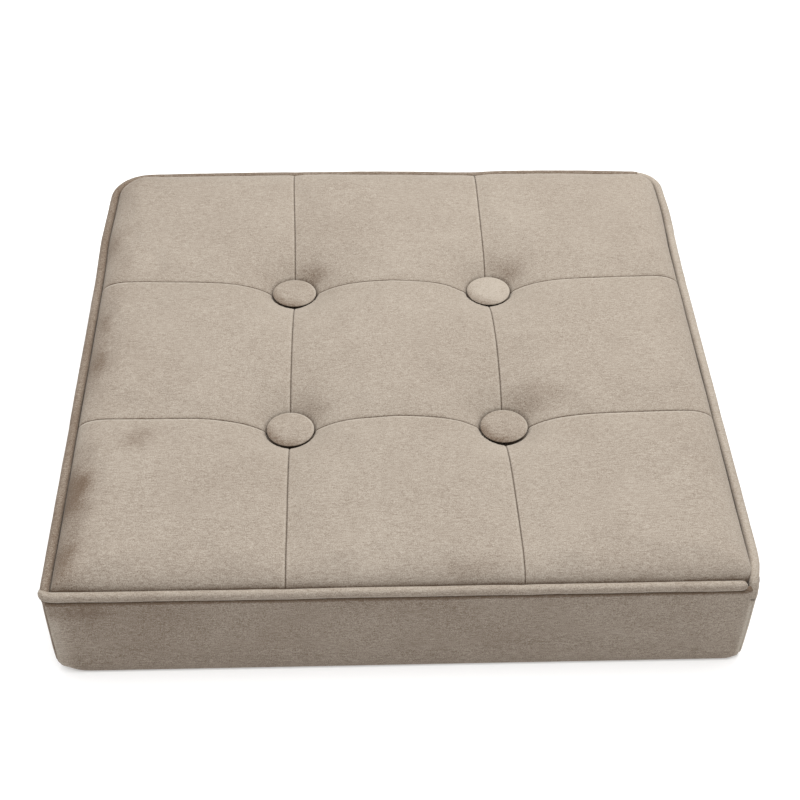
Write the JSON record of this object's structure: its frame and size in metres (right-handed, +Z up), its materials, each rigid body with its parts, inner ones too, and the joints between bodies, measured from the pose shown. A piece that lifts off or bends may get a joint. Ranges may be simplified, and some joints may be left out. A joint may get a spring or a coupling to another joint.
{
  "type": "chair seat pad",
  "caption": "Square tufted velvet chair seat pad with pieced top panels, covered buttons, piping and upright boxing on a plywood base.",
  "frame": {"origin": "middle of the pad's plan, on the plane that the pad stands on", "axes": "+X to the right, +Y to the back, +Z up through the top panels"},
  "size_m": [0.4, 0.4, 0.0765],
  "materials": {
    "taupe_velvet": "matte",
    "cotton_cord": "matte",
    "nylon_twine": "satin",
    "zinc_steel": "satin",
    "polyester_wadding": "matte",
    "seat_foam": "matte",
    "birch_plywood": "matte",
    "black_nonwoven": "matte"
  },
  "bodies": {
    "root": {"base_board": "birch_plywood", "boxing_back": "taupe_velvet", "boxing_front": "taupe_velvet", "boxing_left": "taupe_velvet", "boxing_right": "taupe_velvet", "boxing_staples": "zinc_steel", "button_back_back_left": "zinc_steel", "button_back_back_right": "zinc_steel", "button_back_front_left": "zinc_steel", "button_back_front_right": "zinc_steel", "button_cover_back_left": "taupe_velvet", "button_cover_back_right": "taupe_velvet", "button_cover_front_left": "taupe_velvet", "button_cover_front_right": "taupe_velvet", "button_loop_back_left": "zinc_steel", "button_loop_back_right": "zinc_steel", "button_loop_front_left": "zinc_steel", "button_loop_front_right": "zinc_steel", "button_shell_back_left": "zinc_steel", "button_shell_back_right": "zinc_steel", "button_shell_front_left": "zinc_steel", "button_shell_front_right": "zinc_steel", "button_twine_back_left": "nylon_twine", "button_twine_back_right": "nylon_twine", "button_twine_front_left": "nylon_twine", "button_twine_front_right": "nylon_twine", "dust_cover": "black_nonwoven", "dust_cover_staples": "zinc_steel", "foam_core": "seat_foam", "piping_cord_back": "cotton_cord", "piping_cord_front": "cotton_cord", "piping_cord_left": "cotton_cord", "piping_cord_right": "cotton_cord", "piping_cover_back": "taupe_velvet", "piping_cover_front": "taupe_velvet", "piping_cover_left": "taupe_velvet", "piping_cover_right": "taupe_velvet", "t_nut_back_left": "zinc_steel", "t_nut_back_right": "zinc_steel", "t_nut_front_left": "zinc_steel", "t_nut_front_right": "zinc_steel", "top_panel_back_centre": "taupe_velvet", "top_panel_back_left": "taupe_velvet", "top_panel_back_right": "taupe_velvet", "top_panel_front_centre": "taupe_velvet", "top_panel_front_left": "taupe_velvet", "top_panel_front_right": "taupe_velvet", "top_panel_middle_centre": "taupe_velvet", "top_panel_middle_left": "taupe_velvet", "top_panel_middle_right": "taupe_velvet", "twine_staples": "zinc_steel", "wadding": "polyester_wadding"}
  },
  "joints": []
}
